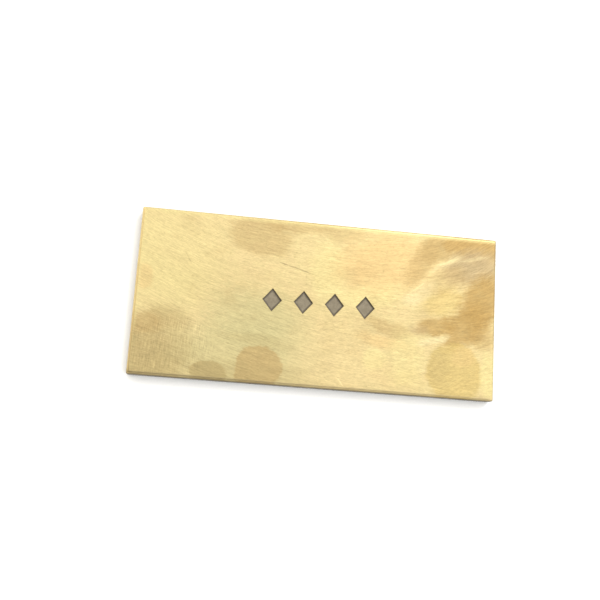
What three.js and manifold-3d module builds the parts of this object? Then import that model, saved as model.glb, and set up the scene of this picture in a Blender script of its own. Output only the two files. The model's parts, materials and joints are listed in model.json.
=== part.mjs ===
// A flat brass desk paperweight: a solid brass plate with softly rolled edges, four pen dots
// sunk into its face and filled with dark enamel, and a thin felt pad stuck to its underside.
// Millimetres. +X runs along the plate, +Y points away from the user and +Z up.
// The origin is the middle of the underside, on the surface that the pad rests on.
import * as THREE from 'three';
import { mergeVertices } from 'three/addons/utils/BufferGeometryUtils.js';
import Module from 'manifold-3d';

// The brass plate.
const plateLength = 100;
const plateWidth = 46;
const plateThickness = 3;
const plateCornerRadius = 0.4; // seen from above
const topEdgeRadius = 0.9; // the hand-finished roll around the face
const bottomEdgeRadius = 0.35;

// The engraved row: rhombic dots, as a broad-edged pen makes them.
const dotCount = 4;
const dotLength = 5; // along X
const dotHeight = 6; // along Y
const dotGap = 3.6; // brass left between two dots
const dotCornerRadius = 0.2;
const dotDepth = 0.5;
const enamelThickness = 0.15;
const enamelClearance = 0.02; // all round, between the enamel and the wall of its dot

// What is under the plate.
const padThickness = 1;
const padInset = 0.05; // from the plate's outline to the pad's
const padCornerRadius = 0.6;
const filmThickness = 0.1;
const filmInset = 0.8; // from the pad's outline to the adhesive film's
const filmCornerRadius = 1;

const arcSteps = 10; // straight steps in an arc
const overrun = 1; // how far a cutting solid runs past what it cuts
const sameVertex = 1e-5; // vertices nearer than this are one

const filmSeat = padThickness;
const plateSeat = filmSeat + filmThickness;
const faceHeight = plateSeat + plateThickness;
const dotFloor = faceHeight - dotDepth;
const dotPitch = dotLength + dotGap;
const dotPlaces = Array.from({ length: dotCount }, (_, i) => (i - (dotCount - 1) / 2) * dotPitch);

const wasm = await Module();
wasm.setup();

const brass = new THREE.MeshStandardMaterial({ color: 0xe3c078, roughness: 0.34, metalness: 1 });
const enamel = new THREE.MeshStandardMaterial({ color: 0x6f675c, roughness: 0.6, metalness: 0 });
const adhesive = new THREE.MeshStandardMaterial({ color: 0xd8d2bd, roughness: 0.4, metalness: 0 });
const felt = new THREE.MeshStandardMaterial({ color: 0x2b2827, roughness: 1, metalness: 0 });

// A rectangle about the origin, with lowRadius on its two lower corners and highRadius on the upper.
function roundedRectangle(width, height, lowRadius, highRadius = lowRadius) {
  const right = width / 2;
  const top = height / 2;
  const outline = new THREE.Shape();
  outline.absarc(right - lowRadius, lowRadius - top, lowRadius, -Math.PI / 2, 0);
  outline.absarc(right - highRadius, top - highRadius, highRadius, 0, Math.PI / 2);
  outline.absarc(highRadius - right, top - highRadius, highRadius, Math.PI / 2, Math.PI);
  outline.absarc(lowRadius - right, lowRadius - top, lowRadius, Math.PI, Math.PI * 1.5);
  outline.closePath();
  return outline;
}

// A rhombus about the origin, length by height over its four rounded corners.
function dotOutline(length, height, radius) {
  const endTurn = Math.atan2(length, height); // half the turn that the outline makes at an end
  const topTurn = Math.PI / 2 - endTurn;
  const endCentre = length / 2 - radius;
  const topCentre = height / 2 - radius;
  const outline = new THREE.Shape();
  outline.absarc(endCentre, 0, radius, -endTurn, endTurn);
  outline.absarc(0, topCentre, radius, Math.PI / 2 - topTurn, Math.PI / 2 + topTurn);
  outline.absarc(-endCentre, 0, radius, Math.PI - endTurn, Math.PI + endTurn);
  outline.absarc(0, -topCentre, radius, Math.PI * 1.5 - topTurn, Math.PI * 1.5 + topTurn);
  outline.closePath();
  return outline;
}

// An outline raised along Z from floor to floor + height.
function raised(outline, height, floor) {
  const settings = { depth: height, bevelEnabled: false, curveSegments: arcSteps };
  return new THREE.ExtrudeGeometry(outline, settings).translate(0, 0, floor);
}

function solidFrom(geometry) {
  const bare = geometry.clone().deleteAttribute('normal').deleteAttribute('uv');
  const merged = mergeVertices(bare, sameVertex);
  return new wasm.Manifold(new wasm.Mesh({
    numProp: 3,
    vertProperties: merged.getAttribute('position').array,
    triVerts: new Uint32Array(merged.index.array),
  }));
}

function geometryFrom(solid) {
  const { vertProperties, triVerts } = solid.getMesh();
  const geometry = new THREE.BufferGeometry();
  geometry.setAttribute('position', new THREE.BufferAttribute(vertProperties, 3));
  geometry.setIndex(new THREE.BufferAttribute(triVerts, 1));
  geometry.computeVertexNormals();
  return geometry;
}

function named(name, geometry, material) {
  const mesh = new THREE.Mesh(geometry, material);
  mesh.name = name;
  return mesh;
}

// A bar along Y whose section, width by the plate's thickness, has the plate's rolled edges.
function edgedBar(width, length) {
  const section = roundedRectangle(width, plateThickness, bottomEdgeRadius, topEdgeRadius);
  const run = length + 2 * overrun;
  return raised(section, run, -run / 2)
    .rotateX(Math.PI / 2)
    .translate(0, 0, plateSeat + plateThickness / 2);
}

// The plate is what its plan and the two bars that run along it and across it have in common.
function plateGeometry() {
  const outline = roundedRectangle(plateLength, plateWidth, plateCornerRadius);
  const plan = raised(outline, plateThickness, plateSeat);
  const across = edgedBar(plateLength, plateWidth);
  const along = edgedBar(plateWidth, plateLength).rotateZ(Math.PI / 2);
  let plate = solidFrom(plan).intersect(solidFrom(across)).intersect(solidFrom(along));
  for (const place of dotPlaces) {
    const dot = dotOutline(dotLength, dotHeight, dotCornerRadius);
    const cutter = raised(dot, dotDepth + overrun, dotFloor).translate(place, 0, 0);
    plate = plate.subtract(solidFrom(cutter));
  }
  return geometryFrom(plate);
}

// The enamel lies on the floor of its dot, below the face.
function enamelGeometry() {
  const outline = dotOutline(
    dotLength - 2 * enamelClearance, dotHeight - 2 * enamelClearance, dotCornerRadius);
  return raised(outline, enamelThickness, dotFloor);
}

// A sheet under the plate, inset all round from the plate's outline.
function sheetGeometry(inset, cornerRadius, thickness, floor) {
  const outline = roundedRectangle(plateLength - 2 * inset, plateWidth - 2 * inset, cornerRadius);
  return raised(outline, thickness, floor);
}

const plate = plateGeometry();
const film = sheetGeometry(padInset + filmInset, filmCornerRadius, filmThickness, filmSeat);
const pad = sheetGeometry(padInset, padCornerRadius, padThickness, 0);

const paperweight = new THREE.Group();
paperweight.add(named('brass_plate', plate, brass));
dotPlaces.forEach((place, i) => {
  const dot = named(`enamel_dot_${i + 1}`, enamelGeometry(), enamel);
  dot.position.x = place;
  paperweight.add(dot);
});
paperweight.add(named('adhesive_film', film, adhesive));
paperweight.add(named('felt_pad', pad, felt));

export default paperweight;
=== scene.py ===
import bpy, json, math
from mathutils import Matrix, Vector

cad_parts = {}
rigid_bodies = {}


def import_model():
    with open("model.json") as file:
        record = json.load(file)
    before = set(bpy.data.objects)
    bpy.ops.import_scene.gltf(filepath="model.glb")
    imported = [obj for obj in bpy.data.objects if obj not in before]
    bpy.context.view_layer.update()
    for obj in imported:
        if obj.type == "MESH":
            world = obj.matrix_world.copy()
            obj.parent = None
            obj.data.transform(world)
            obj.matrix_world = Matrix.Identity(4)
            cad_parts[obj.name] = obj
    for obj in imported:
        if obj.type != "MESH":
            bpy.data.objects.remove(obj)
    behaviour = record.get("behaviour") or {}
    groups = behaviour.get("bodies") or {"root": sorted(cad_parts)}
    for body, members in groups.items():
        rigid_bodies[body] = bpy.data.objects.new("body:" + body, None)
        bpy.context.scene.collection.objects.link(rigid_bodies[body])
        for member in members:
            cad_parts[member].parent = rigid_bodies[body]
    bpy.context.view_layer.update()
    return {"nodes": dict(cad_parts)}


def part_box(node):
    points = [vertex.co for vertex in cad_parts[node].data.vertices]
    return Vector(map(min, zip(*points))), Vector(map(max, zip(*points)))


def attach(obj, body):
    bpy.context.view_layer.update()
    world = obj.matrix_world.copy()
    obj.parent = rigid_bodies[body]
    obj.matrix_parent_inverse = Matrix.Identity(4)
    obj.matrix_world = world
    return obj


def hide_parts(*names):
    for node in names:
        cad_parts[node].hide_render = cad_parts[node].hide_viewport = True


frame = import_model()
mm = 0.001
dotNodes = sorted(name for name in frame["nodes"] if name.startswith("enamel_dot_"))
dotBoxes = [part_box(name) for name in dotNodes]


def clearSelection():
    if bpy.context.object and bpy.context.object.mode != "OBJECT":
        bpy.ops.object.mode_set(mode="OBJECT")
    for thing in bpy.context.view_layer.objects:
        thing.select_set(False)


def workOn(piece):
    clearSelection()
    piece.select_set(True)
    bpy.context.view_layer.objects.active = piece


def pick(kind, wanted):
    # goes back to edit mode with only the wanted vertices, edges or faces selected
    bpy.ops.object.mode_set(mode="EDIT")
    bpy.ops.mesh.select_mode(type=kind)
    bpy.ops.mesh.select_all(action="DESELECT")
    bpy.ops.object.mode_set(mode="OBJECT")
    mesh = bpy.context.object.data
    items = {"VERT": mesh.vertices, "EDGE": mesh.edges, "FACE": mesh.polygons}[kind]
    for item in items:
        if kind == "EDGE":
            ends = [mesh.vertices[i].co for i in item.vertices]
            item.select = wanted(ends[0], ends[1])
        elif kind == "FACE":
            item.select = wanted(item.center, item.normal)
        else:
            item.select = wanted(item.co)
    bpy.ops.object.mode_set(mode="EDIT")


def finishModifier(kind, **settings):
    bpy.ops.object.modifier_add(type=kind)
    modifier = bpy.context.object.modifiers[-1]
    for name, value in settings.items():
        setattr(modifier, name, value)
    bpy.ops.object.modifier_apply(modifier=modifier.name)


def settle(piece, name, finish, slotName, *nodes):
    workOn(piece)
    bpy.ops.object.transform_apply(location=True, rotation=True, scale=True)
    piece.name = name
    piece.data.name = name
    piece.data.materials.clear()
    piece.data.materials.append(finish)
    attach(piece, "root")
    if nodes:
        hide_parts(*nodes)
    return piece


def block(low, high):
    # a box from corner to corner, left selected and active
    clearSelection()
    middle = [(a + b) / 2 for a, b in zip(low, high)]
    bpy.ops.mesh.primitive_cube_add(size=1, location=middle)
    bpy.context.object.scale = [b - a for a, b in zip(low, high)]
    bpy.ops.object.transform_apply(location=True, rotation=True, scale=True)
    return bpy.context.object


class Value:
    # an output in a node tree; sums on it add Math nodes
    def __init__(self, finish, output):
        self.finish = finish
        self.output = output

    def maths(self, operation, first, second):
        return self.finish.node("ShaderNodeMath", {"operation": operation}, {0: first, 1: second})

    def __add__(self, other):
        return self.maths("ADD", self, other)

    def __sub__(self, other):
        return self.maths("SUBTRACT", self, other)

    def __rsub__(self, other):
        return self.maths("SUBTRACT", other, self)

    def __mul__(self, other):
        return self.maths("MULTIPLY", self, other)

    def __truediv__(self, other):
        return self.maths("DIVIDE", self, other)

    def __abs__(self):
        return self.maths("ABSOLUTE", self, 0)

    def atMost(self, other):
        return self.maths("MINIMUM", self, other)

    def atLeast(self, other):
        return self.maths("MAXIMUM", self, other)

    __radd__ = __add__
    __rmul__ = __mul__


class Finish:
    # a material or a world, with its node tree
    def __init__(self, owner):
        self.owner = owner
        owner.use_nodes = True
        self.tree = owner.node_tree
        self.tree.nodes.clear()

    def maths(self, operation, value):
        return self.node("ShaderNodeMath", {"operation": operation}, {0: value})

    def node(self, kind, settings={}, sockets={}, output=0):
        made = self.tree.nodes.new(kind)
        for name, value in settings.items():
            setattr(made, name, value)
        for name, value in sockets.items():
            socket = made.inputs[name] if isinstance(name, int) else self.socket(made, name)
            if isinstance(value, Value):
                self.tree.links.new(value.output, socket)
            else:
                socket.default_value = value
        return Value(self, made.outputs[output]) if made.outputs else made

    def socket(self, made, name):
        for socket in made.inputs:
            if socket.identifier == name:
                return socket
        return made.inputs[name]

    def place(self):
        # the place on the piece, in millimetres
        inMetres = self.node("ShaderNodeTexCoord", output="Object")
        return self.node("ShaderNodeVectorMath", {"operation": "SCALE"}, {0: inMetres, "Scale": 1000.0})

    def parts(self, vector):
        split = self.node("ShaderNodeSeparateXYZ", {}, {0: vector})
        return [Value(self, output) for output in split.output.node.outputs]

    def vector(self, x, y, z=0.0):
        return self.node("ShaderNodeCombineXYZ", {}, {0: x, 1: y, 2: z})

    def stretched(self, vector, size, turn=0.0, centre=(0, 0, 0)):
        # the vector about a centre, turned back by turn degrees, with size as its unit
        return self.node("ShaderNodeMapping", {"vector_type": "TEXTURE"}, {
            "Vector": vector, "Location": centre, "Scale": size,
            "Rotation": (0, 0, math.radians(turn))})

    def noise(self, vector, scale=1.0, detail=2.0, roughness=0.5, distortion=0.0):
        return self.node("ShaderNodeTexNoise", {}, {
            "Vector": vector, "Scale": scale, "Detail": detail, "Roughness": roughness,
            "Distortion": distortion})

    def warped(self, vector, scale, reach, detail=2.0):
        # the vector pushed about by up to half of reach, each way
        push = self.node("ShaderNodeTexNoise", {}, {
            "Vector": vector, "Scale": scale, "Detail": detail, "Roughness": 0.6}, output="Color")
        centred = self.node(
            "ShaderNodeVectorMath", {"operation": "SUBTRACT"}, {0: push, 1: (0.5, 0.5, 0.5)})
        pushed = self.node(
            "ShaderNodeVectorMath", {"operation": "MULTIPLY"}, {0: centred, 1: (reach, reach, 0.0)})
        return self.node("ShaderNodeVectorMath", {"operation": "ADD"}, {0: vector, 1: pushed})

    def length(self, vector):
        return self.node("ShaderNodeVectorMath", {"operation": "LENGTH"}, {0: vector}, output="Value")

    def rise(self, value, low, high, start=0.0, end=1.0):
        # goes smoothly from start at low to end at high
        return self.node("ShaderNodeMapRange", {"interpolation_type": "SMOOTHSTEP"}, {
            "Value": value, "From Min": low, "From Max": high, "To Min": start, "To Max": end})

    def mix(self, factor, first, second, blend="MIX"):
        return self.node("ShaderNodeMix", {"data_type": "RGBA", "blend_type": blend}, {
            "Factor_Float": factor, "A_Color": first, "B_Color": second}, output=2)

    def bump(self, height, distance, strength=1.0):
        return self.node("ShaderNodeBump", {}, {
            "Height": height, "Distance": distance, "Strength": strength})

    def surface(self, **sockets):
        names = {name.replace("_", " "): value for name, value in sockets.items()}
        shader = self.node("ShaderNodeBsdfPrincipled", {}, names)
        self.node("ShaderNodeOutputMaterial", {}, {"Surface": shader})
        return self.owner


def newFinish(name):
    return Finish(bpy.data.materials.new(name))


def colour(red, green, blue):
    # from the 0 to 255 of a colour picker to the linear values that a shader takes
    shares = [share / 255 for share in (red, green, blue)]
    return [s / 12.92 if s <= 0.04045 else ((s + 0.055) / 1.055) ** 2.4 for s in shares] + [1.0]


studio = {
    "sky": 1.9,               # how bright the room is; the floor is a little overexposed
    "dimSide": 0.82,          # how much of that is lost on the near left side
    "dimTowards": (-0.6, -0.8),
    "dimAbove": (0.29, 0.42),  # the sine of the height at which the dimming starts, and is whole
    "creamWall": (1.0, 0.93, 0.78, 1.0),  # the tint of the light from the left
    "keyPower": 4.2,
    "keyPlace": (0.48, 0.66, 0.72),
    "keySize": 0.5,
    "floorColour": colour(250, 250, 249),
}


def tone(red, green, blue):
    # a tone as the bright room shows it, taken back to the material's own colour
    return [share / studio["sky"] for share in colour(red, green, blue)[:3]] + [1.0]


# What hands and air have left on the brass, with painted highlights on the rims and painted
# shade on the sides. Each stain has a centre and half sizes in millimetres, a turn in degrees,
# the softness of its edge and how strongly it shows.
brassLook = {
    "fresh": tone(243, 221, 160),
    "rose": tone(245, 220, 161),
    "lemon": tone(252, 233, 165),
    "green": tone(219, 207, 151),
    "umber": tone(194, 172, 118),
    "tan": tone(205, 174, 116),
    "brown": tone(200, 164, 100),
    "peach": tone(245, 210, 146),
    "mauve": tone(201, 177, 133),
    "pale": tone(250, 229, 172),
    "gold": tone(225, 196, 120),
    "side": tone(240, 205, 118),   # the deeper gold under the tarnish and painted shade of the sides
    # a painted highlight for the near and left rims
    "rimHighlight": colour(219, 196, 148),
    "wall": tone(74, 64, 47),   # the tarnish low on the sides, which nobody polishes, with painted shade added on the near side and at the foot
    "dotRimTone": tone(96, 84, 66),  # darker round the rim of each dot
    "roughness": 0.36,
    "wallRoughness": 0.6,
    "strokeContrast": 0.3,
    "fineContrast": 0.75,
    "gritContrast": 0.55,
    "scratchContrast": 0.1,
    "warpReach": 3.5,  # how far the stains' outlines wander, in millimetres
    # Bands along the edges, in millimetres from where each starts to where it is whole.
    # Those that end in Height are measured up from the table, the others from the middle.
    "bands": {
        "stainHeight": (2.6, 3.8),
        "farEdge": (21.2, 22.0),
        "leftEdge": (48.4, 49.2),
        "leftEdgeStart": (-16.0, -4.0),
        "highlightHeight": (3.5, 4.0),
        "nearSide": (21.6, 22.8),
        "rightSide": (48.6, 49.6),
        "endWalls": (48.9, 49.3),
        "longWalls": (21.9, 22.3),
        "rollHeight": (3.5, 4.02),
        "footHeight": (1.1, 3.3),
        "leftRim": (49.0, 49.5),
        "leftRimHeight": (3.3, 3.6),
        "nearRim": (22.1, 22.45),
        "nearRimHeight": (3.85, 4.0),
    },
    # how strongly the tarnish and painted shade show on the roll and at the foot, and how much more on
    # a side; the near side's extra is painted shade
    "tarnishAndShade": {"roll": 0.08, "nearRollShade": 0.5, "rightRoll": 0.2, "foot": 0.1, "nearFootShade": 0.27},
    "stains": [
        ("lemon", (-42, 9), (15, 13), 0, 1.1, 0.75),
        ("rose", (-34, 14), (14, 8), -15, 1.2, 0.3),
        ("peach", (-48, 3.5), (3, 3.6), 20, 0.5, 0.5),
        ("umber", (-14, 0), (34, 6), -10, 1.6, 0.14),
        ("green", (-16, -6), (13, 8), -10, 1.0, 0.7),
        ("green", (-20, -16), (20, 9), 0, 1.0, 0.65),
        ("umber", (-49, -18), (14, 10), 12, 0.9, 0.68),
        ("umber", (-36, -20), (9, 4), 0, 1.0, 0.15),
        ("umber", (-40, -7), (6, 3), -10, 0.8, 0.4),
        ("tan", (-47, -9), (5, 3), 0, 0.7, 0.5),
        ("tan", (-17, 17.5), (8.8, 5.6), -10, 0.5, 0.5),
        ("tan", (5, 21), (6, 3), 0, 0.9, 0.4),
        ("tan", (-6, 21.5), (9, 2), 4, 0.9, 0.5),
        ("umber", (-16, -11.5), (9, 1.6), -5, 1.0, 0.3),
        ("tan", (-15.6, -19), (6.3, 6.6), -4, 0.14, 0.72),
        ("umber", (-29, -21.6), (4.9, 3.6), 0, 0.2, 0.7),
        ("umber", (-6, -20.5), (5, 3), 0, 1.0, 0.25),
        ("umber", (-22, -21), (9, 3.4), 0, 1.0, 0.35),
        ("lemon", (2.5, 9), (5, 8), 5, 0.9, 0.75),
        ("lemon", (14, 3.6), (9, 3.4), 10, 0.9, 0.85),
        ("pale", (28, 5.5), (5, 2.2), 35, 0.8, 1.0),
        ("peach", (18, 13), (13, 8), 12, 0.9, 0.8),
        ("tan", (10, 9), (5.5, 2.8), 15, 0.9, 0.18),
        ("rose", (6, -14), (12, 9), 0, 1.2, 0.6),
        ("lemon", (16, -14), (3, 3), -60, 0.8, 0.7),
        ("peach", (20, -17.5), (6, 3.4), -15, 0.8, 0.15),
        ("peach", (19, -9), (7, 2), -8, 0.9, 0.6),
        ("tan", (20, -5), (6.5, 1.8), -14, 0.8, 0.5),
        ("lemon", (25, -13), (5, 7), 0, 0.9, 0.6),
        ("gold", (27, -19), (4.5, 3), 0, 0.8, 0.12),
        ("tan", (29, 15), (8, 2.6), 55, 0.8, 0.6),
        ("tan", (33, 19), (6, 4), 20, 0.7, 0.75),
        ("brown", (38, 20.5), (4, 2.2), 15, 0.6, 0.7),
        ("tan", (45, 20), (9, 4.4), 0, 0.8, 0.95),
        ("brown", (44, 20.5), (8, 3), 0, 0.8, 0.5),
        ("mauve", (43, 14), (8.5, 5), 14, 0.8, 0.9),
        ("pale", (35.5, 14.8), (5, 0.9), 30, 0.9, 0.5),
        ("pale", (43, 16.6), (4.5, 0.5), 14, 0.9, 0.35),
        ("tan", (36, 9.5), (6, 3.4), 25, 0.9, 0.45),
        ("gold", (35, 3.5), (6, 3.6), 20, 0.9, 0.55),
        ("brown", (46, 4.5), (8, 5.4), 62, 0.8, 0.85),
        ("brown", (41, -3), (8, 5), 42, 0.8, 0.8),
        ("brown", (46, -5), (4, 4), 0, 1.0, 0.5),
        ("brown", (33, -3.4), (5.8, 2.6), 12, 0.8, 0.75),
        ("mauve", (28, -5), (3, 1.6), -10, 0.9, 0.4),
        ("pale", (32.5, -7.6), (4.4, 1.2), 22, 0.8, 0.9),
        ("gold", (38.6, -16.5), (7.8, 8.4), 0, 0.2, 0.65),
        ("umber", (34, -15), (3, 5), 0, 0.9, 0.25),
        ("peach", (41, -11.5), (3.4, 2.4), 0, 0.8, 0.35),
        ("lemon", (48.4, -16), (2.4, 6), 0, 0.7, 0.8),
    ],
    # single scratches: middle, half length, half width, turn, and how much lighter or darker
    "scratches": [
        ((-6.2, 9.3), 4.8, 0.2, -14, -0.34),
        ((-10.5, 10.4), 1.5, 0.22, -20, -0.3),
        ((7.0, -20.9), 2.2, 0.2, -46, 0.22),
        ((-43.0, -20.2), 1.1, 0.26, 82, 0.3),
        ((-36.5, 9.8), 2.6, 0.16, -58, -0.14),
        ((27.4, 6.9), 3.2, 0.22, 38, 0.14),
        ((36.0, 15.2), 3.6, 0.2, 26, 0.2),
        ((45.0, 12.8), 3.0, 0.18, 12, 0.2),
        ((14.0, -2.2), 2.8, 0.16, -8, -0.12),
    ],
}


def nearDots(finish, x, y):
    # 0 at the middle of a dot, 1 on its outline and more outside it
    boxes = [[[value / mm for value in corner] for corner in box] for box in dotBoxes]
    pitch = boxes[1][0][0] - boxes[0][0][0]
    start = (boxes[0][0][0] + boxes[0][1][0]) / 2
    halfLength = (boxes[0][1][0] - boxes[0][0][0]) / 2
    halfHeight = (boxes[0][1][1] - boxes[0][0][1]) / 2
    turns = finish.maths("FRACT", (x - start) / pitch + 0.5)
    away = abs(turns - 0.5) * pitch / halfLength + abs(y) / halfHeight
    past = finish.rise(abs(x), boxes[-1][1][0] + 1, boxes[-1][1][0] + 1.5)
    return away + past * 10


def makeBrass(look):
    bands, strength = look["bands"], look["tarnishAndShade"]
    finish = newFinish("worn_brass")
    place = finish.place()
    x, y, z = finish.parts(place)

    # the hand's polishing strokes fall to the right at the left end and level out at the right
    drift = finish.noise(place, 0.035, 1.0)
    across = y + x * 0.11 - x * x * 0.0031 - y * x * (0.003 + x * 0.00009) + (drift - 0.5) * 4
    strokes = finish.noise(finish.vector(x * 0.12, across * 1.8, z * 2.0), 1.0, 3.0, 0.65)
    fineStrokes = finish.noise(finish.vector(x * 0.35, across * 6.0, z * 6.0), 1.0, 3.0, 0.7)
    grit = finish.noise(finish.vector(x * 1.3, across * 4.0, z * 4.0), 1.0, 2.0, 0.7)
    # a second pass at another angle shows in patches, and crosswise in the near left corner
    turned = finish.stretched(place, (4.0, 0.22, 1.0), 28)
    crossing = finish.noise(turned, 1.0, 3.0, 0.65)
    steep = finish.noise(finish.stretched(place, (3.4, 0.26, 1.0), 86), 1.0, 3.0, 0.65)
    patches = finish.rise(finish.noise(place, 0.09, 2.0), 0.48, 0.6)
    wavy = finish.warped(place, 0.3, 4.0)
    leftCorner = finish.rise(
        finish.length(finish.stretched(wavy, (13, 8, 1000), 10, (-40, -15, 0))), 0.7, 1.2, 1.0, 0.0)
    rightCorner = finish.rise(
        finish.length(finish.stretched(wavy, (9, 8, 1000), 0, (40, -15, 0))), 0.7, 1.2, 0.6, 0.0)
    # a few single scratches, some bright and some dark
    bright = finish.rise(finish.noise(finish.vector(x * 0.07, across * 5.0, 3.1), 1.0, 1.0), 0.69, 0.74)
    dark = finish.rise(finish.noise(finish.vector(x * 0.09, across * 4.2, 8.7), 1.0, 1.0), 0.69, 0.74)

    blotches = finish.noise(place, 0.5, 4.0, 0.65)
    mottle = finish.noise(place, 0.35, 4.0, 0.65)
    warped = finish.warped(place, 0.16, look["warpReach"], 3.0)

    shade = finish.mix(finish.rise(mottle, 0.3, 0.7), look["fresh"], look["rose"])
    onFace = finish.rise(z, *bands["stainHeight"])
    unevenly = (0.45 + mottle * 0.6 + grit * 0.5).atMost(1.0) * onFace
    for kind, centre, halfSize, turn, softness, amount in look["stains"]:
        spot = finish.stretched(
            warped, (halfSize[0], halfSize[1], 1000), turn, (centre[0], centre[1], 0))
        # a soft stain frays along the strokes, and a crisp one keeps its outline
        ragged = ((blotches - 0.5) * 0.5 + (strokes - 0.5) * 0.4) * (0.25 + softness)
        cover = finish.rise(
            finish.length(spot) + ragged, 1 - softness / 2, 1 + softness / 2, amount, 0.0)
        shade = finish.mix(cover * unevenly, shade, look[kind])
    clouds = finish.noise(warped, 0.11, 4.0, 0.6)
    shade = finish.mix(finish.rise(clouds, 0.5, 0.75, 0.0, 0.2), shade, look["tan"])
    # painted highlight: the far and left rolled edges are painted lighter
    farEdge = finish.rise(y, *bands["farEdge"])
    leftEdge = finish.rise(x * -1.0, *bands["leftEdge"]) * finish.rise(y, *bands["leftEdgeStart"])
    edgeHighlight = farEdge.atLeast(leftEdge) * finish.rise(z, *bands["highlightHeight"]) * 0.45
    shade = finish.mix(edgeHighlight, shade, look["lemon"])
    freckles = finish.rise(finish.noise(place, 1.1, 2.0), 0.66, 0.74, 0.0, 0.3)
    shade = finish.mix(freckles, shade, look["umber"])

    along = 1.0 - leftCorner * 0.2 - rightCorner * 0.6
    grain = (1.0 + (strokes - 0.5) * along * look["strokeContrast"]
             + (fineStrokes - 0.5) * along * look["fineContrast"] + (grit - 0.5) * look["gritContrast"]
             + (crossing - 0.5) * (patches * 0.4 + rightCorner * 0.8) + (steep - 0.5) * leftCorner * 0.9
             + bright * look["scratchContrast"] - dark * look["scratchContrast"])
    slight = finish.warped(place, 0.25, 0.9)
    for centre, halfLength, halfWidth, turn, change in look["scratches"]:
        line = finish.stretched(slight, (halfLength, halfWidth, 1000), turn, (centre[0], centre[1], 0))
        grain = grain + finish.rise(finish.length(line), 0.4, 1.2, change, 0.0)
    shade = finish.mix(1.0, shade, finish.vector(grain, grain, grain), "MULTIPLY")

    away = nearDots(finish, x, y)
    ring = finish.rise(away + (blotches - 0.5) * 0.1, 1.03, 1.15, 0.9, 0.0)
    shade = finish.mix(ring, shade, look["dotRimTone"])

    # the sides darken from the end of the rolled edge to the foot, most on the near side: tarnish, with
    # painted shade at the foot and on the near side
    nearSide = finish.rise(y * -1.0, *bands["nearSide"])
    rightSide = finish.rise(x, *bands["rightSide"])
    rolled = finish.rise(z, *bands["rollHeight"], 1.0, 0.0)
    foot = finish.rise(z, *bands["footHeight"], 1.0, 0.0)
    ends = finish.rise(abs(x), *bands["endWalls"])
    outside = ends.atLeast(finish.rise(abs(y), *bands["longWalls"]))
    onRoll = strength["roll"] + nearSide * strength["nearRollShade"] + rightSide * strength["rightRoll"]
    atFoot = strength["foot"] + nearSide * strength["nearFootShade"]
    tarnishAndShade = (rolled * onRoll + foot * atFoot) * outside
    tarnishAndShade = (tarnishAndShade * (0.5 + blotches * 0.7 + mottle * 0.3)).atMost(0.97)
    shade = finish.mix(foot * outside * 0.7, shade, look["side"])
    # painted highlight: the near and left rims are painted lighter
    leftRim = finish.rise(x * -1.0, *bands["leftRim"]) * finish.rise(z, *bands["leftRimHeight"])
    nearRim = finish.rise(y * -1.0, *bands["nearRim"]) * finish.rise(z, *bands["nearRimHeight"])
    shade = finish.mix((leftRim * 0.4).atLeast(nearRim * 0.35), shade, look["rimHighlight"])
    # tarnish and painted shade: the sides are mixed towards the dark wall tone
    shade = finish.mix(tarnishAndShade, shade, look["wall"])

    roughness = (look["roughness"] + (fineStrokes - 0.5) * 0.2
                 + tarnishAndShade * (look["wallRoughness"] - look["roughness"]) + ring * 0.15)
    height = strokes * 0.5 + fineStrokes * 0.4 + crossing * patches * 0.2 - dark * 0.5
    return finish.surface(
        Base_Color=shade, Metallic=1.0, Roughness=roughness,
        Normal=finish.bump(height, 0.000005))


def makeEnamel():
    finish = newFinish("dull_enamel")
    place = finish.place()
    cloud = finish.noise(place, 0.9, 4.0, 0.6)
    grain = finish.noise(place, 9.0, 3.0, 0.6)
    shade = finish.mix(finish.rise(cloud, 0.35, 0.65), tone(174, 160, 131), tone(156, 142, 113))
    shade = finish.mix(finish.rise(grain, 0.35, 0.7, 0.0, 0.5), shade, tone(133, 119, 95))
    x, y, z = finish.parts(place)
    rim = finish.rise(nearDots(finish, x, y) + (cloud - 0.5) * 0.15, 0.74, 0.93, 0.0, 0.9)
    shade = finish.mix(rim, shade, tone(100, 88, 68))
    return finish.surface(
        Base_Color=shade, Roughness=0.45 + grain * 0.3, Normal=finish.bump(grain, 0.00001))


def makeAdhesive():
    finish = newFinish("adhesive")
    place = finish.place()
    cloud = finish.noise(place, 0.5, 3.0, 0.5)
    shade = finish.mix(cloud, colour(90, 78, 57), colour(70, 60, 43))
    return finish.surface(Base_Color=shade, Roughness=0.35, Normal=finish.bump(cloud, 0.00002))


def makeFelt():
    finish = newFinish("wool_felt")
    place = finish.place()
    fibres = finish.noise(place, 5.0, 4.0, 0.7, 1.5)
    cloud = finish.noise(place, 0.6, 3.0, 0.5)
    shade = finish.mix(finish.rise(fibres, 0.3, 0.7), colour(12, 11, 10), colour(66, 61, 56))
    shade = finish.mix(cloud * 0.3, shade, colour(29, 26, 24))
    return finish.surface(
        Base_Color=shade, Roughness=0.95, Sheen_Weight=0.1, Sheen_Roughness=0.5,
        Normal=finish.bump(fibres, 0.0001))


brass = makeBrass(brassLook)
enamel = makeEnamel()
adhesive = makeAdhesive()
felt = makeFelt()
print("finishes made")


plate = {
    "cornerRadius": 0.4 * mm,    # seen from above
    "faceRoll": 0.9 * mm,
    "footRoll": 0.35 * mm,
    "rollSteps": 9,
    "dotCorner": 0.2 * mm,
    "dotDepth": 0.5 * mm,
    "dotClearance": 0.02 * mm,   # from an enamel fill to the wall of its dot
    "rimEase": 0.06 * mm,        # the worn rim of each dot
    "cell": 2 * mm,
    "waveLength": 16 * mm,
    "waveHeight": 0.05 * mm,
}


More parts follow.
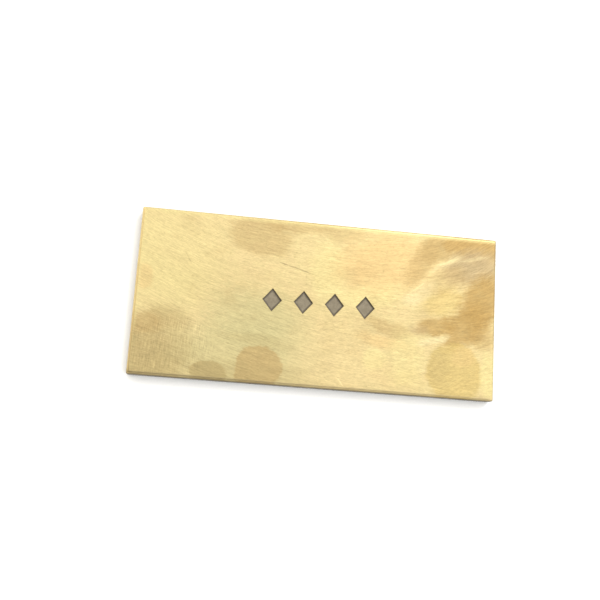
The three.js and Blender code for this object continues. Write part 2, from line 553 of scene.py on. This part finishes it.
def rhombus(low, high, cornerRadius):
    # an upright prism with four points, left active
    clearSelection()
    middle = [(a + b) / 2 for a, b in zip(low, high)]
    size = [b - a for a, b in zip(low, high)]
    bpy.ops.mesh.primitive_cylinder_add(vertices=4, radius=0.5, depth=1, location=middle)
    cut = bpy.context.object
    # the rounding takes the points back, so they start further out
    steepness = math.hypot(size[0], size[1])
    cut.scale = [
        size[0] + 2 * cornerRadius * (steepness / size[1] - 1),
        size[1] + 2 * cornerRadius * (steepness / size[0] - 1), size[2]]
    bpy.ops.object.transform_apply(location=True, rotation=True, scale=True)
    pick("EDGE", lambda a, b: abs(a.z - b.z) > size[2] / 2)
    bpy.ops.mesh.bevel(offset=cornerRadius, offset_type="WIDTH", segments=5, affect="EDGES")
    bpy.ops.object.mode_set(mode="OBJECT")
    return cut


def makePlate(sizes, finish):
    low, high = [Vector(corner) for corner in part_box("brass_plate")]
    body = block(low, high)
    body.name = "plateBody"
    face = high.z

    # one bevel rounds every edge, each by its own share of the largest radius
    weights = body.data.attributes.new("bevel_weight_edge", "FLOAT", "EDGE")
    for edge in body.data.edges:
        a, b = [body.data.vertices[i].co for i in edge.vertices]
        radius = sizes["cornerRadius"] if abs(a.z - b.z) > 1 * mm else (
            sizes["faceRoll"] if a.z > (low.z + high.z) / 2 else sizes["footRoll"])
        weights.data[edge.index].value = radius / sizes["faceRoll"]
    finishModifier(
        "BEVEL", width=sizes["faceRoll"], segments=sizes["rollSteps"], limit_method="WEIGHT",
        use_clamp_overlap=False)

    # the four dots are cut into the face
    for dotLow, dotHigh in dotBoxes:
        grow = sizes["dotClearance"]
        cut = rhombus(
            (dotLow[0] - grow, dotLow[1] - grow, face - sizes["dotDepth"]),
            (dotHigh[0] + grow, dotHigh[1] + grow, face + 1 * mm), sizes["dotCorner"])
        workOn(body)
        finishModifier("BOOLEAN", operation="DIFFERENCE", object=cut, solver="EXACT")
        bpy.data.objects.remove(cut)

    # the rim of each dot is eased: the top edges of the walls
    mesh = body.data
    rims = set()
    for side in mesh.polygons:
        if abs(side.normal.z) < 0.1 and abs(side.center.x) < 20 * mm and abs(side.center.y) < 4 * mm:
            for key in side.edge_keys:
                if all(mesh.vertices[i].co.z > face - 0.01 * mm for i in key):
                    rims.add(key)
    bpy.ops.object.mode_set(mode="EDIT")
    bpy.ops.mesh.select_mode(type="EDGE")
    bpy.ops.mesh.select_all(action="DESELECT")
    bpy.ops.object.mode_set(mode="OBJECT")
    for edge in mesh.edges:
        edge.select = tuple(sorted(edge.vertices)) in rims
    bpy.ops.object.mode_set(mode="EDIT")
    bpy.ops.mesh.bevel(offset=sizes["rimEase"], segments=3, affect="EDGES")

    # a grid over the whole plate, so that the face can be a little uneven
    for axis in (0, 1):
        count = round((high[axis] - low[axis]) / sizes["cell"])
        for i in range(1, count):
            spot, normal = [0, 0, 0], [0, 0, 0]
            spot[axis] = low[axis] + (high[axis] - low[axis]) * i / count
            normal[axis] = 1
            bpy.ops.mesh.select_all(action="SELECT")
            bpy.ops.mesh.bisect(plane_co=spot, plane_no=normal)
    bpy.ops.object.mode_set(mode="OBJECT")
    unevenness = bpy.data.textures.new("unevenness", "CLOUDS")
    unevenness.noise_scale = sizes["waveLength"]
    finishModifier(
        "DISPLACE", texture=unevenness, texture_coords="LOCAL", direction="Z",
        strength=sizes["waveHeight"], mid_level=0.5)
    bpy.ops.object.shade_smooth_by_angle(angle=math.radians(40))
    finishModifier("WEIGHTED_NORMAL", keep_sharp=True)
    return settle(body, "brass_face_plate", finish, "brass", "brass_plate")


makePlate(plate, brass)
print("plate made")


fill = {
    "clearance": 0.005 * mm,
    "climb": 0.08 * mm,        # how far the enamel climbs the wall of its dot
    # each ring's share of the one before it, and how far it lies below it
    "steps": [(0.95, 0.04 * mm), (0.92, 0.025 * mm), (0.85, 0.015 * mm), (0.6, 0.005 * mm)],
}


def makeFills(sizes, finish):
    for name, (dotLow, dotHigh) in zip(dotNodes, dotBoxes):
        grow = plate["dotClearance"] - sizes["clearance"]
        piece = rhombus(
            (dotLow[0] - grow, dotLow[1] - grow, dotLow[2]),
            (dotHigh[0] + grow, dotHigh[1] + grow, dotHigh[2] + sizes["climb"]), plate["dotCorner"])
        pick("FACE", lambda centre, normal: normal.z > 0.9)
        middle = ((dotLow[0] + dotHigh[0]) / 2, (dotLow[1] + dotHigh[1]) / 2, dotHigh[2])
        for share, drop in sizes["steps"]:
            bpy.ops.mesh.extrude_region()
            bpy.ops.transform.resize(value=(share, share, 1), center_override=middle)
            bpy.ops.transform.translate(value=(0, 0, -drop))
        bpy.ops.object.mode_set(mode="OBJECT")
        bpy.ops.object.shade_smooth_by_angle(angle=math.radians(40))
        settle(piece, name.replace("enamel_dot", "enamel_fill"), finish, "enamel", name)


makeFills(fill, enamel)
print("enamel filled in")


under = {
    "filmCorner": 1 * mm,
    "padCorner": 0.6 * mm,
    "padEase": 0.12 * mm,      # the worn edges of the felt
    "padCell": 1.5 * mm,
    "padRagged": 0.07 * mm,    # how unevenly the felt is cut
    "flatSize": (45.9 * mm, 99.9 * mm),
    "fuzzCount": 1800,
    "fuzzLength": 0.09 * mm,
    "fuzzThickness": 0.02 * mm,
    "fuzzBand": 0.5,           # the share of the felt's thickness that fibres stand on
    "fuzzSeed": 4,
}


def makeSheet(node, cornerRadius):
    low, high = [Vector(corner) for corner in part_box(node)]
    piece = block(low, high)
    pick("EDGE", lambda a, b: abs(a.z - b.z) > (high.z - low.z) / 2)
    bpy.ops.mesh.bevel(offset=cornerRadius, segments=8, affect="EDGES")
    bpy.ops.object.mode_set(mode="OBJECT")
    return piece


def makeFilm(sizes, finish):
    film = makeSheet("adhesive_film", sizes["filmCorner"])
    bpy.ops.object.shade_smooth_by_angle(angle=math.radians(50))
    return settle(film, "adhesive_sheet", finish, "adhesive", "adhesive_film")


def makePad(sizes, finish):
    low, high = [Vector(corner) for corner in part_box("felt_pad")]
    pad = makeSheet("felt_pad", sizes["padCorner"])
    pick("EDGE", lambda a, b: abs(a.z - b.z) < 0.001 * mm)
    bpy.ops.mesh.bevel(offset=sizes["padEase"], segments=3, affect="EDGES")
    for axis in (0, 1):
        count = round((high[axis] - low[axis]) / sizes["padCell"])
        for i in range(1, count):
            spot, normal = [0, 0, 0], [0, 0, 0]
            spot[axis] = low[axis] + (high[axis] - low[axis]) * i / count
            normal[axis] = 1
            bpy.ops.mesh.select_all(action="SELECT")
            bpy.ops.mesh.bisect(plane_co=spot, plane_no=normal)
    bpy.ops.object.mode_set(mode="OBJECT")
    # only the cut sides are uneven, so the felt stays flat on the table and under the film
    sides = pad.vertex_groups.new(name="sides")
    for point in pad.data.vertices:
        inside = min(high.x - abs(point.co.x), high.y - abs(point.co.y))
        if inside < sizes["padEase"] and low.z + 0.01 * mm < point.co.z < high.z - 0.01 * mm:
            sides.add([point.index], 1.0, "REPLACE")
    cut = bpy.data.textures.new("feltCut", "CLOUDS")
    cut.noise_scale = 3 * mm
    finishModifier(
        "DISPLACE", texture=cut, texture_coords="LOCAL", direction="NORMAL", vertex_group="sides",
        strength=sizes["padRagged"], mid_level=0.8)
    bpy.ops.object.shade_smooth_by_angle(angle=math.radians(50))
    return settle(pad, "felt_base", finish, "felt", "felt_pad")


def makeFuzz(sizes, pad, finish):
    # short hairs grown on a band round the felt, then turned into thin fibres
    low, high = [Vector(corner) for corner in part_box("felt_pad")]
    middle = (low + high) / 2
    share = sizes["fuzzBand"]
    half = (high.z - low.z) * share / 2
    band = block(
        (low.x, low.y, middle.z - half), (high.x, high.y, middle.z + half))
    pick("FACE", lambda centre, normal: abs(normal.z) > 0.5)
    bpy.ops.mesh.delete(type="FACE")
    bpy.ops.object.mode_set(mode="OBJECT")
    bpy.ops.object.particle_system_add()
    band.particle_systems[0].seed = sizes["fuzzSeed"]
    hair = band.particle_systems[0].settings
    hair.type = "HAIR"
    hair.count = sizes["fuzzCount"]
    hair.display_step = 1
    hair.use_advanced_hair = True
    hair.hair_length = sizes["fuzzLength"]
    hair.factor_random = sizes["fuzzLength"] * 0.2
    bpy.context.view_layer.update()
    bpy.ops.object.modifier_convert(modifier=band.modifiers[0].name)
    fuzz = bpy.context.object
    bpy.data.objects.remove(band)
    workOn(fuzz)
    bpy.ops.object.convert(target="CURVE")
    fuzz = bpy.context.object
    fuzz.data.bevel_depth = sizes["fuzzThickness"] / 2
    fuzz.data.bevel_resolution = 0
    bpy.ops.object.convert(target="MESH")
    return settle(bpy.context.object, "felt_fuzz", finish, "felt")


makeFilm(under, adhesive)
pad = makePad(under, felt)
fuzz = makeFuzz(under, pad, felt)
print("pad made")


def makeStudio(sizes):
    clearSelection()
    bpy.ops.mesh.primitive_plane_add(size=8, location=(0, 0, 0))
    floor = bpy.context.object
    floor.name = "floor"
    paper = newFinish("pale_paper")
    tooth = paper.noise(paper.place(), 2.0, 3.0, 0.6)
    shade = paper.mix(paper.rise(tooth, 0.3, 0.7), sizes["floorColour"], colour(247, 247, 246))
    floor.data.materials.append(paper.surface(
        Base_Color=shade, Roughness=0.8, Specular_IOR_Level=0.2, Normal=paper.bump(tooth, 0.00001)))

    room = Finish(bpy.data.worlds.new("room"))
    bpy.context.scene.world = room.owner
    x, y, z = room.parts(room.node("ShaderNodeTexCoord", output="Generated"))
    towards = x * sizes["dimTowards"][0] + y * sizes["dimTowards"][1]
    dim = room.rise(towards, 0.1, 0.5, 0.0, sizes["dimSide"]) * room.rise(z, *sizes["dimAbove"])
    leftward = room.rise(x * -1.0, 0.2, 0.7)
    light = room.node("ShaderNodeBackground", {}, {
        "Color": room.mix(leftward, (1.0, 1.0, 1.0, 1.0), sizes["creamWall"]),
        "Strength": (1 - dim) * sizes["sky"]})
    room.node("ShaderNodeOutputWorld", {}, {"Surface": light})

    bpy.ops.object.light_add(type="AREA", location=sizes["keyPlace"])
    key = bpy.context.object
    key.name = "window"
    key.data.shape = "SQUARE"
    key.data.size = sizes["keySize"]
    key.data.energy = sizes["keyPower"]
    key.rotation_euler = Vector(sizes["keyPlace"]).to_track_quat("Z", "Y").to_euler()

    scene = bpy.context.scene
    scene.view_settings.view_transform = "Standard"
    scene.view_settings.look = "None"


def makeCamera():
    bpy.ops.object.camera_add(
        location=(-30.2 * mm, -45.7 * mm, 233.7 * mm),
        rotation=(math.radians(10.908), math.radians(-6.925), math.radians(3.739)))
    camera = bpy.context.object
    camera.data.lens = 51.67
    camera.data.sensor_width = 36
    camera.data.clip_start = 0.01
    bpy.context.scene.camera = camera


makeStudio(studio)
makeCamera()
print("studio ready")
